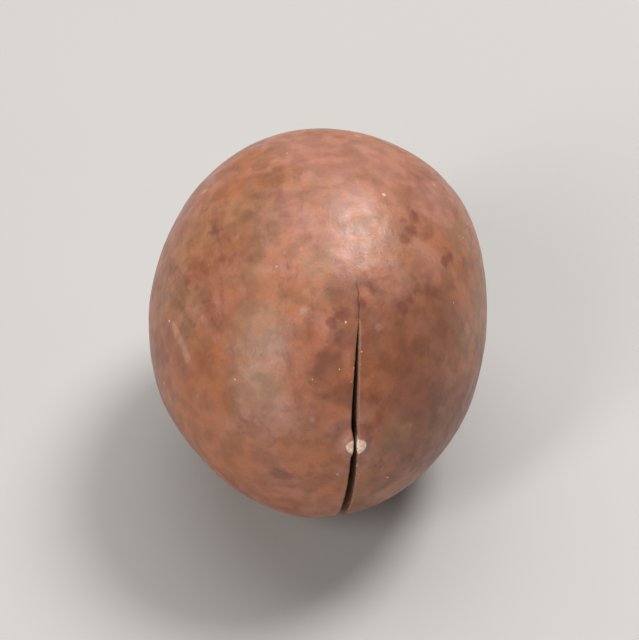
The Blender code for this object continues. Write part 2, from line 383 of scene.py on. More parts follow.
def rays_at(along, aside):
    """Unit rays: along is the angle round the slit's plane from the pore, aside the angle out of it."""
    in_plane = np.cos(along)[:, None] * TO_PORE + np.sin(along)[:, None] * SLIT_UP
    return in_plane * np.cos(aside)[:, None] + SLIT_SIDE * np.sin(aside)[:, None]


def angle_to(rays, axis):
    """The angle between each ray and an axis."""
    return np.arccos(np.clip(rays @ axis, -1, 1))


def body_radius(rays):
    """The nut's plain form: an ellipsoid whose girth is not quite round."""
    axes = ((LONG, HALF_LENGTH), (WIDE, HALF_WIDTH), (HIGH, HALF_HEIGHT))
    plain = 1 / np.sqrt(sum((rays @ axis / half) ** 2 for axis, half in axes))
    turn = np.arctan2(rays @ SLIT_UP, rays @ SLIT_SIDE)
    belly = 1 - (rays @ TO_PORE) ** 2
    oval = OVAL * np.cos(2 * turn - OVAL_TURN)
    three_sided = THREE_SIDED * np.cos(3 * turn - THREE_SIDED_TURN)
    return plain * (1 + belly * (oval + three_sided))


def lopsided(rays):
    """How far the full shoulder and the flat cheek move the skin."""
    shoulder = SHOULDER_HEIGHT * bump(angle_to(rays, TO_SHOULDER), SHOULDER_SPREAD)
    return shoulder - CHEEK_DEPTH * bump(angle_to(rays, TO_CHEEK), CHEEK_SPREAD)


def pore_relief(from_pore, radius):
    """The soft point, the button on it and the moat round the button."""
    arc = from_pore * radius
    button = smooth((BUTTON_RADIUS - arc) / (0.5 * BUTTON_RADIUS) + 0.5)
    point = POINT_HEIGHT * bump(from_pore, POINT_SPREAD)
    return point + BUTTON_HEIGHT * button - MOAT_DEPTH * bump(arc - MOAT_RADIUS, MOAT_WIDTH)


def scar_veins(rays):
    """Low ridges that fan out over the scar, 0 to 1."""
    turn = np.arctan2(rays @ SLIT_UP, rays @ SLIT_SIDE)
    waver = noise_at(rays, 0.12, 2, 5)
    return np.abs(np.cos(VEINS / 2 * turn + 3 * waver)) ** 3


def hilum_relief(rays, from_hilum, radius):
    """The flattened back end with the sunken scar, its raised rim, its pit and its veins."""
    arc = from_hilum * radius
    scar = smooth((SCAR_RADIUS - arc) / RIM_WIDTH)
    rim = RIM_HEIGHT * bump(arc - SCAR_RADIUS, RIM_WIDTH)
    flattening = HILUM_FLATTENING * bump(from_hilum, HILUM_SPREAD)
    veins = VEIN_HEIGHT * scar * smooth(arc / PIT_RADIUS - 1) * scar_veins(rays)
    return rim - flattening - SCAR_DEPTH * scar - PIT_DEPTH * bump(arc, PIT_RADIUS) + veins


def skin_radius(rays):
    """The outside of the shell without its fine grain."""
    radius = body_radius(rays) + lopsided(rays)
    from_pore = angle_to(rays, TO_PORE)
    return radius + pore_relief(from_pore, radius) + hilum_relief(rays, math.pi - from_pore, radius)


def hollow_radius(rays):
    """The inside of the wall, which is thickest at the hilum and thinnest at the pore."""
    towards_pore = rays @ TO_PORE
    end = np.where(towards_pore > 0, WALL_PORE, WALL_HILUM)
    return body_radius(rays) - WALL_SIDE - (end - WALL_SIDE) * towards_pore**2


def slit_half_width(along):
    """Half the slit's width at this angle: pointed at both ends, and full below the pore."""
    above = smooth(1 - along / SLIT_TOP)
    below = smooth(along / SLIT_FULL_FROM)
    upper = SLIT_TOP_HALF_WIDTH + (SLIT_PORE_HALF_WIDTH - SLIT_TOP_HALF_WIDTH) * above
    lower = SLIT_PORE_HALF_WIDTH + (SLIT_FULL_HALF_WIDTH - SLIT_PORE_HALF_WIDTH) * below
    bottom = smooth((along - SLIT_BOTTOM) / SLIT_BOTTOM_TAPER)
    ends = bottom * smooth((SLIT_TOP - along) / SLIT_TOP_TAPER)
    waist = 1 - SLIT_WAIST * bump(along, SLIT_WAIST_LENGTH)
    return np.where(along > 0, upper, lower) * waist * np.sqrt(ends)


def crack_share(along):
    """1 along the hairline crack above the slit, fading to 0 at its end."""
    return smooth((along - SLIT_TOP) / math.radians(1) + 1) * smooth((CRACK_TOP - along) / CRACK_FADE)


def slit_line(along):
    """How far the line of the slit and its crack lies off the slit's plane."""
    jog = 0.5 * SLIT_JOG * (1 + np.tanh((along - SLIT_JOG_AT) / SLIT_JOG_LENGTH))
    bow = SLIT_BOW * np.sin(math.pi * np.clip(along / SLIT_TOP, 0, 1))
    drift = SLIT_TURN * np.maximum(0, -along)
    jag = CRACK_JAG * smooth((along - SLIT_TOP) / CRACK_FADE) * np.sin(30 * along) * np.cos(47 * along)
    below_top = smooth((CRACK_TOP + CRACK_FADE - along) / CRACK_FADE)
    above_bottom = smooth((along - SLIT_BOTTOM) / CRACK_FADE + 1)
    return (drift + jag - jog - bow) * (below_top * above_bottom)


def spread(low, high, count, density):
    """Numbers from low to high, closer together where the density is high."""
    fine = np.linspace(low, high, 20 * count)
    weight = density(fine)
    total = np.concatenate(((0,), np.cumsum((weight[1:] + weight[:-1]) / 2)))
    return np.interp(np.linspace(0, total[-1], count + 1), total, fine)


def column_density(along):
    """More columns along the slit, and most of them round the pore and the scar."""
    slit = smooth((along - SLIT_BOTTOM) / CRACK_FADE + 1) * smooth((CRACK_TOP - along) / CRACK_FADE + 1)
    pore = bump(along, math.radians(7))
    scar = bump(np.abs(along) - math.pi, math.radians(16))
    return 1 + slit + 4 * pore + 1.5 * scar


def row_density(aside):
    """Most rows lie close to the slit."""
    return 1 + 5 * bump(aside, math.radians(3.5)) + 0.6 * bump(aside, math.radians(18))


def grain(settings, rays, along, line_distance):
    """The skin's lumps, ridges and peel, and the groove of the hairline crack."""
    points = rays * HALF_WIDTH
    stretched = points - np.outer(points @ LONG, LONG) * RIDGE_STRETCH
    crack = 1.4 * CRACK_HALF_WIDTH * crack_share(along) * bump(line_distance, CRACK_HALF_WIDTH)
    return (
        settings.lumps * noise_at(points, LUMP_SIZE, 2, 1)
        + settings.ridges * noise_at(stretched, RIDGE_SIZE, 2, 2)
        + settings.peel * noise_at(points, PEEL_SIZE, 1, 3)
        - crack
    )


def shell_grid(settings):
    """The shell's points and faces: two sides of skin, slit wall and lining that share the slit's line."""
    columns = spread(-math.pi, math.pi, COLUMNS, column_density)[:-1]
    skin_shares = spread(0, math.pi / 2, SKIN_ROWS, row_density)[:-1] / (math.pi / 2)
    lining_shares = np.linspace(0, 1, LINING_ROWS + 1)[1:-1]
    half, line = slit_half_width(columns), slit_line(columns)
    opened = half > 0
    chips = np.array([abs(noise.fractal(Vector((90 * a, 0, 0)), 1.0, 2.0, 3)) for a in columns])
    points, faces, zones = [], [], []

    def add_rows(rows):
        """Adds rows of points, each with one point a column, and gives their numbers."""
        first = len(points) * COLUMNS
        points.extend(rows)
        return first + np.arange(len(rows) * COLUMNS).reshape(len(rows), COLUMNS)

    def add_strips(rows, zone, where=None):
        """Faces between each row of points and the next."""
        for near, far in zip(rows, rows[1:]):
            for i in range(COLUMNS):
                j = (i + 1) % COLUMNS
                if where is None or where[i] or where[j]:
                    faces.append((near[i], near[j], far[j], far[i]))
                    zones.append(zone)

    poles = []
    for side in (-1, 1):
        chamfer = np.where(opened, settings.lip_chamfer + settings.lip_chips * chips, 0)
        chamfer = np.minimum(chamfer, 1.5 * half)
        lip = line + side * half
        rim = rays_at(columns, np.arcsin((lip + side * chamfer) / HALF_LENGTH))
        edge = np.arcsin((lip + side * chamfer) / skin_radius(rim))
        aside = edge + np.outer(skin_shares, side * math.pi / 2 - edge)
        along = np.tile(columns, (len(skin_shares), 1))
        rays = rays_at(along.ravel(), aside.ravel())
        radius = skin_radius(rays)
        distance = radius * np.sin(aside.ravel()) - np.tile(line, len(skin_shares))
        radius = radius + grain(settings, rays, along.ravel(), distance)
        skin = (NUT_CENTRE + rays * radius[:, None]).reshape(-1, COLUMNS, 3)

        plane_rays = rays_at(columns, 0 * columns)
        outer = radius[:COLUMNS] - chamfer
        inner = np.sqrt(hollow_radius(plane_rays) ** 2 - lip**2)
        wall = []
        for depth in np.linspace(0, 1, WALL_ROWS + 1):
            reach = outer + (inner - outer) * depth
            marks = np.sin(2 * math.pi * (reach + 4 * MM * columns) / SAW_MARK_SIZE)
            worn = SAW_MARK_DEPTH * marks * np.sin(math.pi * depth) * opened
            offset = lip + side * worn
            wall.append(NUT_CENTRE + plane_rays * reach[:, None] + SLIT_SIDE * offset[:, None])

        inner_edge = np.arcsin(lip / hollow_radius(plane_rays))
        lining = []
        for share in lining_shares:
            turned = rays_at(columns, inner_edge + share * (side * math.pi / 2 - inner_edge))
            lining.append(NUT_CENTRE + turned * hollow_radius(turned)[:, None])

        skin_rows = add_rows(list(skin))
        wall_rows = add_rows(wall)
        lining_rows = add_rows(lining)
        add_strips(skin_rows, SKIN)
        add_strips([skin_rows[0], *wall_rows], CUT, opened)
        add_strips([wall_rows[-1], *lining_rows], LINING)
        poles.append((side, skin_rows[-1], lining_rows[-1]))

    points = np.concatenate(points)
    for side, skin_ring, lining_ring in poles:
        ray = side * SLIT_SIDE[None, :]
        ends = ((skin_ring, skin_radius(ray), SKIN), (lining_ring, hollow_radius(ray), LINING))
        for ring, radius, zone in ends:
            tip = len(points)
            points = np.vstack((points, NUT_CENTRE + ray * radius[:, None]))
            for i in range(COLUMNS):
                faces.append((ring[i], ring[(i + 1) % COLUMNS], tip))
                zones.append(zone)
    return points, faces, zones


def added(name, data):
    """A new object in the scene."""
    made = bpy.data.objects.new(name, data)
    bpy.context.scene.collection.objects.link(made)
    return made


def store(mesh, name, values):
    """Keeps one number for each point of the mesh, for its finish to read."""
    attribute = mesh.attributes.new(name, "FLOAT", "POINT")
    attribute.data.foreach_set("value", np.asarray(values, np.float32))


def points_of(mesh):
    """The mesh's points as rows of numbers."""
    places = np.empty(3 * len(mesh.vertices), np.float32)
    mesh.vertices.foreach_get("co", places)
    return places.reshape(-1, 3)


def from_slit(points):
    """Points' rays and reach from the nut's centre, angle up the slit and distance off its line."""
    offsets = points - NUT_CENTRE
    reach = np.linalg.norm(offsets, axis=1)
    along = np.arctan2(offsets @ SLIT_UP, offsets @ TO_PORE)
    return offsets / reach[:, None], reach, along, offsets @ SLIT_SIDE - slit_line(along)


def mark_places(mesh):
    """Marks the places of the pore, its halo, the scar, the crack, the lips and the skin's patches, some of
    which are painted shade, sheen and glints.
    """
    points = points_of(mesh)
    rays, reach, along, distance = from_slit(points)
    side, lift = (points - NUT_CENTRE) @ SLIT_SIDE, (points - NUT_CENTRE) @ SLIT_UP

    bead = np.hypot((side - BEAD_SHIFT) / BEAD_HALF_WIDTH, lift / BEAD_HALF_HEIGHT)
    bead = np.where(rays @ TO_PORE > 0, bead, 9)
    store(mesh, "pore", smooth((1 - bead) / PORE_SOFTNESS + 0.5))
    store(mesh, "halo", bump(bead - HALO_RING, PORE_SOFTNESS))
    arc = (math.pi - angle_to(rays, TO_PORE)) * reach
    edge = SCAR_RADIUS * (1 + SCAR_WAVINESS * noise_at(rays, 0.15, 2, 8))
    store(mesh, "scar", smooth((edge - arc) / SCAR_SOFTNESS + 0.5))
    store(mesh, "crack", crack_share(along) * bump(distance, 1.1 * CRACK_HALF_WIDTH))
    for name, patches in MARKS.items():
        share = 0 * reach
        for up_front, aside, radius in patches:
            middle = rays_at(np.radians([up_front]), np.radians([aside]))[0]
            share = np.maximum(share, bump(angle_to(rays, middle) * reach, radius * MM))
        store(mesh, name, share)
    half = slit_half_width(along)
    lip = bump(np.abs(distance) - half, LIP_WIDTH) * (half > 0) * np.where(distance > 0, 1, LIP_LEFT_SHARE)
    store(mesh, "lips", lip * smooth(along / LIP_FADE + 1))
    wall = body_radius(rays) - hollow_radius(rays)
    store(mesh, "depth", np.clip((body_radius(rays) - reach) / wall, 0, 1))


def node(tree, kind, settings=None, *values, **inputs):
    """Adds a node. Its inputs, in order or by name, are values or other nodes' outputs."""
    made = tree.nodes.new(kind)
    for key, value in (settings or {}).items():
        setattr(made, key, value)
    named = [(made.inputs[key.replace("_", " ")], value) for key, value in inputs.items()]
    for socket, value in (*zip(made.inputs, values), *named):
        if isinstance(value, bpy.types.NodeSocket):
            tree.links.new(value, socket)
        else:
            socket.default_value = value
    return made


def maths(tree, operation, *values):
    """A sum on numbers."""
    return node(tree, "ShaderNodeMath", {"operation": operation}, *values).outputs[0]


def vector_maths(tree, operation, *values):
    """A sum on vectors."""
    output = "Value" if operation in ("DOT_PRODUCT", "LENGTH") else "Vector"
    return node(tree, "ShaderNodeVectorMath", {"operation": operation}, *values).outputs[output]


def mixed(tree, share, first, second, blend="MIX"):
    """A mix of two colours."""
    made = node(tree, "ShaderNodeMix", {"data_type": "RGBA", "blend_type": blend})
    for index, value in ((0, share), (6, first), (7, second)):
        if isinstance(value, bpy.types.NodeSocket):
            tree.links.new(value, made.inputs[index])
        else:
            made.inputs[index].default_value = value if index == 0 else (*value, 1)
    return made.outputs[2]


def ranged(tree, value, low, high, to_low=0.0, to_high=1.0):
    """Value between low and high turned into a smooth share between two limits."""
    limits = (low, high, to_low, to_high)
    return node(tree, "ShaderNodeMapRange", {"interpolation_type": "SMOOTHSTEP"}, value, *limits).outputs[0]


def new_material(name, roughness):
    """A material, its tree, its Principled shader and its place in millimetres on the nut."""
    made = bpy.data.materials.new(name)
    made.use_nodes = True
    tree = made.node_tree
    shader = tree.nodes["Principled BSDF"]
    shader.inputs["Roughness"].default_value = roughness
    place = node(tree, "ShaderNodeTexCoord").outputs["Object"]
    millimetres = node(tree, "ShaderNodeMapping", Vector=place, Scale=(1 / MM,) * 3).outputs[0]
    return made, tree, shader, millimetres


def cloud(tree, place, size, detail=3.0, roughness=0.55, offset=0.0, distortion=0.0):
    """Noise whose lumps have this size in millimetres."""
    shift = (offset, 1.7 * offset, -offset)
    moved = node(tree, "ShaderNodeMapping", Vector=place, Location=shift).outputs[0]
    made = node(tree, "ShaderNodeTexNoise", Vector=moved, Scale=1 / size, Detail=detail)
    made.inputs["Roughness"].default_value = roughness
    made.inputs["Distortion"].default_value = distortion
    return made.outputs["Fac"]


def spots(tree, place, size, offset=0.0):
    """Scattered points this far apart in millimetres, with a distance and a random colour for each."""
    moved = node(tree, "ShaderNodeMapping", Vector=place, Location=(offset,) * 3).outputs[0]
    return node(tree, "ShaderNodeTexVoronoi", Vector=moved, Scale=1 / size, Randomness=1.0).outputs


def marked(tree, name):
    """A number that was stored on the mesh."""
    return node(tree, "ShaderNodeAttribute", {"attribute_name": name}).outputs["Fac"]


def dress(tree, shader, colour, height, depth):
    """Gives a shader its colour and its fine relief."""
    relief = node(tree, "ShaderNodeBump", Height=height, Distance=depth, Strength=1.0).outputs[0]
    tree.links.new(colour, shader.inputs["Base Color"])
    tree.links.new(relief, shader.inputs["Normal"])


def scar_fibres(tree, place):
    """Fine fibres that fan out from the middle of the scar, 0 to 1."""
    from_middle = vector_maths(tree, "SUBTRACT", place, tuple(NUT_CENTRE / MM))
    up = vector_maths(tree, "DOT_PRODUCT", from_middle, tuple(SLIT_UP))
    side = vector_maths(tree, "DOT_PRODUCT", from_middle, tuple(SLIT_SIDE))
    turn = maths(tree, "ARCTAN2", up, side)
    bent = maths(tree, "MULTIPLY", cloud(tree, place, 1.1, detail=4, offset=41), FIBRE_BEND)
    more_bent = maths(tree, "MULTIPLY", bent, 1.7)
    broad = maths(tree, "SINE", maths(tree, "MULTIPLY_ADD", turn, BROAD_FIBRES, bent))
    narrow = maths(tree, "SINE", maths(tree, "MULTIPLY_ADD", turn, NARROW_FIBRES, more_bent))
    both = maths(tree, "MULTIPLY_ADD", narrow, 0.6, broad)
    breaks = cloud(tree, place, 0.45, detail=4, roughness=0.7, offset=43)
    return ranged(tree, maths(tree, "MULTIPLY_ADD", breaks, 3.5, both), 0.6, 3.0)


def skin_finish(settings):
    """Satin brown skin, mottled in orange, pink, olive and plum, with fine streaks, specks and marks; some
    marks are painted shade, sheen and glints.
    """
    made, tree, shader, place = new_material("shell_skin", 0.42)
    shader.inputs["Specular IOR Level"].default_value = 0.5
    broad = ranged(tree, cloud(tree, place, 7.0, offset=3), 0.35, 0.65)
    colour = mixed(tree, broad, settings.tan, settings.orange)

    # Mottling: colour, size, noise at its start and at full strength, strength and noise offset
    for shade, size, low, high, strength, offset in (
        (settings.olive, 5.0, 0.46, 0.66, 0.75, 11.0),
        (settings.pink, 3.6, 0.48, 0.66, 0.75, 23.0),
        (settings.plum, 2.6, 0.54, 0.70, 0.55, 37.0),
        (settings.orange, 1.9, 0.54, 0.72, 0.4, 51.0),
        (settings.plum, 1.1, 0.56, 0.72, 0.5, 67.0),
        (settings.pink, 0.8, 0.58, 0.76, 0.35, 83.0),
    ):
        lumps = cloud(tree, place, size, detail=4, roughness=0.6, offset=offset, distortion=0.4)
        colour = mixed(tree, ranged(tree, lumps, low, high, 0, strength), colour, shade)

    # Streaks along the nut
    along = node(tree, "ShaderNodeMapping", Vector=place, Rotation=(-DROOP, 0, -HEADING), Scale=(1, 0.22, 1))
    streaks = cloud(tree, along.outputs[0], 0.8, detail=4, roughness=0.65)
    colour = mixed(tree, ranged(tree, streaks, 0.5, 0.75, 0, 0.45), colour, settings.plum)

    # Specks: colour, spacing, largest radius as a share of it, strength and offset
    for shade, size, reach, strength, offset in (
        (DARK_SPECK, 2.1, 0.36, 0.45, 4.0),
        (DARK_SPECK, 1.1, 0.3, 0.3, 12.0),
        (PALE_SPECK, 2.3, 0.2, 0.45, 9.0),
    ):
        dots = spots(tree, place, size, offset)
        random = node(tree, "ShaderNodeSeparateColor", Color=dots["Color"]).outputs[0]
        radius = maths(tree, "MULTIPLY", ranged(tree, random, 0.45, 1), reach)
        near = ranged(tree, dots["Distance"], radius, 0.0, 0, strength)
        colour = mixed(tree, near, colour, shade)

    # Marks: name, colour, strength, and the noise that frays the edge and how far
    frayed = cloud(tree, place, 1.1, detail=5, roughness=0.62, offset=71)
    torn = cloud(tree, place, 0.5, detail=5, roughness=0.7, offset=77)
    for name, shade, strength, edge, fray in (
        # Painted shade on the underside and the lower sides
        ("deep_painted_shade", (0.25, 0.084, 0.04), 0.65, frayed, 0.9),
        # Partly painted shade, partly darker reddish skin beside the slit
        ("dusk_and_painted_shade", (0.21, 0.078, 0.046), 0.65, frayed, 0.9),
        ("orange", (0.36, 0.118, 0.045), 0.65, frayed, 1.1),
        # Partly a painted highlight on the left
        ("olive", settings.olive, 0.65, frayed, 0.9),
        ("smudge", (0.22, 0.09, 0.04), 0.62, torn, 1.2),
        # Partly a painted sheen on the crown
        ("pale", settings.pink, 0.7, frayed, 0.9),
        # Painted highlight along the left rim
        ("painted_glint_streak", (0.5, 0.24, 0.16), 0.65, torn, 1.1),
        ("stain", (0.18, 0.05, 0.032), 0.68, torn, 1.2),
    ):
        ragged = maths(tree, "MULTIPLY_ADD", edge, fray, marked(tree, name))
        share = ranged(tree, ragged, 0.25 + fray / 2, 0.85 + fray / 2, 0, strength)
        colour = mixed(tree, share, colour, shade)

    # Fine grain and freckles
    grains = ranged(tree, cloud(tree, place, 0.22, roughness=0.6, offset=5), 0.3, 0.7, 0.93, 1.05)
    freckles = cloud(tree, place, 1.3, detail=1, roughness=0.5, offset=15)
    shade = maths(tree, "MULTIPLY", grains, ranged(tree, freckles, 0.35, 0.65, 0.85, 1.09))
    tint = node(tree, "ShaderNodeCombineColor", Red=shade, Green=shade, Blue=shade).outputs[0]
    colour = mixed(tree, 1.0, colour, tint, "MULTIPLY")

    # Slit, pore and scar
    for name, low, high, strength, shade in (
        ("lips", 0.3, 0.9, 0.22, (0.55, 0.36, 0.26)),
        ("halo", 0.2, 1, 0.12, (0.15, 0.06, 0.04)),
        ("scar", 0.0, 0.4, 0.4, (0.2, 0.08, 0.05)),
    ):
        colour = mixed(tree, ranged(tree, marked(tree, name), low, high, 0, strength), colour, shade)
    fibres = scar_fibres(tree, place)
    dust = ranged(tree, cloud(tree, place, 0.7, detail=5, offset=2), 0.4, 0.65, 0, 0.7)
    cork = mixed(tree, dust, mixed(tree, fibres, CORK_DARK, CORK_PALE), CORK_DUST)
    scar = ranged(tree, maths(tree, "MULTIPLY_ADD", torn, 1.2, marked(tree, "scar")), 0.95, 1.3)
    colour = mixed(tree, scar, colour, cork)
    colour = mixed(tree, ranged(tree, marked(tree, "crack"), 0.2, 0.9, 0, 0.75), colour, CRACK_DARK)
    cream = mixed(tree, ranged(tree, cloud(tree, place, 0.3, offset=1), 0.35, 0.65), PORE_PALE, PORE_DARK)
    bead = ranged(tree, maths(tree, "MULTIPLY_ADD", torn, 0.7, marked(tree, "pore")), 0.5, 1.15)
    colour = mixed(tree, bead, colour, cream)

    worn = cloud(tree, place, 0.9, detail=4, roughness=0.65, offset=29)
    satin = ranged(tree, worn, 0.32, 0.68, 0.34, 0.46)
    waxy = maths(tree, "MULTIPLY_ADD", marked(tree, "pore"), -0.16, satin)
    rough = maths(tree, "MAXIMUM", waxy, maths(tree, "MULTIPLY", scar, 0.85))
    tree.links.new(rough, shader.inputs["Roughness"])
    pits = ranged(tree, spots(tree, place, 0.55, 2.0)["Distance"], 0.0, 0.35)
    fine = cloud(tree, place, 0.16, roughness=0.6, offset=13)
    height = maths(tree, "MULTIPLY_ADD", fine, 0.5, maths(tree, "MULTIPLY", pits, 0.15))
    height = maths(tree, "MULTIPLY_ADD", streaks, 0.8, height)
    height = maths(tree, "MULTIPLY_ADD", maths(tree, "MULTIPLY", fibres, scar), 3.0, height)
    dress(tree, shader, colour, height, SKIN_BUMP)
    return made


def cut_finish():
    """The sawn wall: a brown rind, then tan wood with saw marks."""
    made, tree, shader, place = new_material("shell_cut", 0.8)
    depth = marked(tree, "depth")
    fibres = cloud(tree, place, 0.25, detail=4, roughness=0.7)
    wood = mixed(tree, fibres, WOOD_DARK, WOOD_PALE)
    rind = mixed(tree, ranged(tree, depth, 0.02, 0.07), RIND, wood)
    colour = mixed(tree, ranged(tree, depth, 0.82, 0.95), rind, WALL_INNER)
    plug = maths(tree, "MULTIPLY", marked(tree, "pore"), ranged(tree, depth, 0.3, 0.05))
    dress(tree, shader, mixed(tree, plug, colour, PORE_PLUG), fibres, FINE_BUMP)
    return made


def lining_finish():
    """The smooth inside of the wall: cream towards the pore, brown towards the hilum."""
    made, tree, shader, place = new_material("shell_lining", 0.35)
    towards_pore = vector_maths(tree, "DOT_PRODUCT", place, tuple(TO_PORE))
    waver = cloud(tree, place, 2.2)
    level = maths(tree, "MULTIPLY_ADD", waver, 3.0, towards_pore)
    halves = mixed(tree, ranged(tree, level, 1.2, 2.4), LINING_BROWN, LINING_CREAM)
    mottle = ranged(tree, cloud(tree, place, 0.7, offset=6), 0.4, 0.75, 0, 0.4)
    dress(tree, shader, mixed(tree, mottle, halves, LINING_MOTTLE), waver, FINE_BUMP)
    return made


def kernel_finish(settings):
    """Waxy ivory flesh with tan patches, a faint seam and small dark specks."""
    made, tree, shader, place = new_material("kernel_flesh", 0.45)
    blush = ranged(tree, cloud(tree, place, 3.0, detail=4), 0.45, 0.75, 0, 0.6)
    colour = mixed(tree, blush, settings.ivory, KERNEL_TAN)
    fine = cloud(tree, place, 0.4, detail=4, roughness=0.6, offset=8)
    colour = mixed(tree, ranged(tree, fine, 0.4, 0.7, 0, 0.35), colour, KERNEL_PALE)
    specks = ranged(tree, spots(tree, place, 1.6, 3.0)["Distance"], 0.09, 0.04, 0, 0.6)
    dress(tree, shader, mixed(tree, specks, colour, KERNEL_SPECK), fine, FINE_BUMP)
    return made


def bit_finish(name, pale, dark):
    """Matte flakes and crumbs that vary a little."""
    made, tree, shader, place = new_material(name, 0.75)
    colour = mixed(tree, ranged(tree, cloud(tree, place, 0.8), 0.35, 0.65), dark, pale)
    dress(tree, shader, colour, cloud(tree, place, 0.08), BIT_BUMP)
    return made


def new_tree(name, **inputs):
    """A Geometry Nodes tree with named inputs of each kind; gives it, its inputs and its output node."""
    tree = bpy.data.node_groups.new(name, "GeometryNodeTree")
    for kind, labels in {"Geometry": ("Geometry",), **inputs, "Material": ("Finish",)}.items():
        for label in labels:
            tree.interface.new_socket(label, in_out="INPUT", socket_type="NodeSocket" + kind)
    tree.interface.new_socket("Geometry", in_out="OUTPUT", socket_type="NodeSocketGeometry")
    return tree, tree.nodes.new("NodeGroupInput").outputs, tree.nodes.new("NodeGroupOutput")


def end_tree(tree, made, finish, end):
    """Ends a tree: whatever was instanced becomes plain mesh, smooth, with its finish."""
    real = node(tree, "GeometryNodeRealizeInstances", Geometry=made).outputs[0]
    soft = node(tree, "GeometryNodeSetShadeSmooth", Geometry=real).outputs[0]
    finished = node(tree, "GeometryNodeSetMaterial", Geometry=soft, Material=finish).outputs[0]
    tree.links.new(finished, end.inputs[0])


def bell(tree, ratio):
    """A round bump, 1 where the ratio is 0."""
    squared = maths(tree, "MULTIPLY", ratio, ratio)
    return maths(tree, "EXPONENT", maths(tree, "MULTIPLY", squared, -1.0))


def scaled(tree, vector, factor):
    """A vector times a number."""
    made = vector_maths(tree, "SCALE", vector)
    tree.links.new(factor, made.node.inputs["Scale"])
    return made


def kernel_tree():
    """The kernel by rule: an ellipsoid with a soft tip, a seam between its halves and shallow dimples."""
    numbers = ("Tip", "Tip spread", "Seam", "Dimples")
    tree, given, end = new_tree("kernel_by_rule", Vector=("Half sizes", "Centre"), Float=numbers)
    ball = node(tree, "GeometryNodeMeshIcoSphere", Radius=1.0, Subdivisions=KERNEL_DETAIL).outputs[0]
    ray = vector_maths(tree, "NORMALIZE", node(tree, "GeometryNodeInputPosition").outputs[0])
    parts = [vector_maths(tree, "DOT_PRODUCT", ray, tuple(axis)) for axis in (LONG, WIDE, HIGH)]
    shares = node(tree, "ShaderNodeCombineXYZ", X=parts[0], Y=parts[1], Z=parts[2]).outputs[0]
    stretch = vector_maths(tree, "LENGTH", vector_maths(tree, "DIVIDE", shares, given["Half sizes"]))
    plain = maths(tree, "DIVIDE", 1.0, stretch)
    angle = maths(tree, "ARCCOSINE", vector_maths(tree, "DOT_PRODUCT", ray, tuple(TO_PORE)))
    fall = bell(tree, maths(tree, "DIVIDE", angle, given["Tip spread"]))
    tipped = maths(tree, "MULTIPLY_ADD", given["Tip"], fall, plain)
    seam_side = SLIT_SIDE * math.cos(KERNEL_SEAM_TURN) + SLIT_UP * math.sin(KERNEL_SEAM_TURN)
    off_seam = vector_maths(tree, "DOT_PRODUCT", ray, tuple(seam_side))
    groove = bell(tree, maths(tree, "MULTIPLY", off_seam, KERNEL_SEAM_SHARPNESS))
    sunk = maths(tree, "SUBTRACT", tipped, maths(tree, "MULTIPLY", given["Seam"], groove))
    lumps = node(tree, "ShaderNodeTexNoise", Vector=ray, Scale=4.0, Detail=3.0).outputs[0]
    dimpled = maths(tree, "MULTIPLY_ADD", given["Dimples"], maths(tree, "SUBTRACT", lumps, 0.65), sunk)
    placed = vector_maths(tree, "ADD", scaled(tree, ray, dimpled), given["Centre"])
    shaped = node(tree, "GeometryNodeSetPosition", Geometry=ball, Position=placed).outputs[0]
    end_tree(tree, shaped, given["Finish"], end)
    return tree


def scatter_tree():
    """Small flakes of uneven size, scattered over a surface where its "where" mark is high."""
    numbers = ("Spacing", "Density", "Size", "Flatness")
    tree, given, end = new_tree("scattered_bits", Float=numbers, Int=("Seed",))
    where = node(tree, "GeometryNodeInputNamedAttribute", {"data_type": "FLOAT"}, Name="where").outputs[0]
    scattered = node(
        tree,
        "GeometryNodeDistributePointsOnFaces",
        {"distribute_method": "POISSON"},
        Mesh=given["Geometry"],
        Distance_Min=given["Spacing"],
        Density_Max=given["Density"],
        Density_Factor=where,
        Seed=given["Seed"],
    ).outputs
    flake = node(tree, "GeometryNodeMeshIcoSphere", Radius=0.5, Subdivisions=2).outputs[0]
    position = node(tree, "GeometryNodeInputPosition").outputs[0]
    lumps = node(tree, "ShaderNodeTexNoise", Vector=position, Scale=3.0).outputs[0]
    dented = scaled(tree, position, maths(tree, "ADD", lumps, 0.5))
    flake = node(tree, "GeometryNodeSetPosition", Geometry=flake, Position=dented).outputs[0]

    def drawn(low, high, shift):
        """A random number for each bit."""
        made = node(tree, "FunctionNodeRandomValue", {"data_type": "FLOAT"})
        made.inputs[2].default_value = low
        made.inputs[3].default_value = high
        tree.links.new(maths(tree, "ADD", given["Seed"], shift), made.inputs["Seed"])
        return made.outputs[1]

    turn = node(tree, "ShaderNodeCombineXYZ", Z=drawn(0, 2 * math.pi, 1)).outputs[0]
    turned = (scattered["Rotation"], turn)
    spun = node(tree, "FunctionNodeRotateRotation", {"rotation_space": "LOCAL"}, *turned).outputs[0]
    size = maths(tree, "MULTIPLY", given["Size"], maths(tree, "POWER", drawn(0.45, 1, 2), 1.8))
    slim = maths(tree, "MULTIPLY", size, drawn(0.5, 1, 3))
    flat = maths(tree, "MULTIPLY", size, given["Flatness"])
    sizes = node(tree, "ShaderNodeCombineXYZ", X=size, Y=slim, Z=flat).outputs[0]
    bits = node(tree, "GeometryNodeInstanceOnPoints", Points=scattered["Points"], Instance=flake)
    tree.links.new(spun, bits.inputs["Rotation"])
    tree.links.new(sizes, bits.inputs["Scale"])
    end_tree(tree, bits.outputs[0], given["Finish"], end)
    return tree


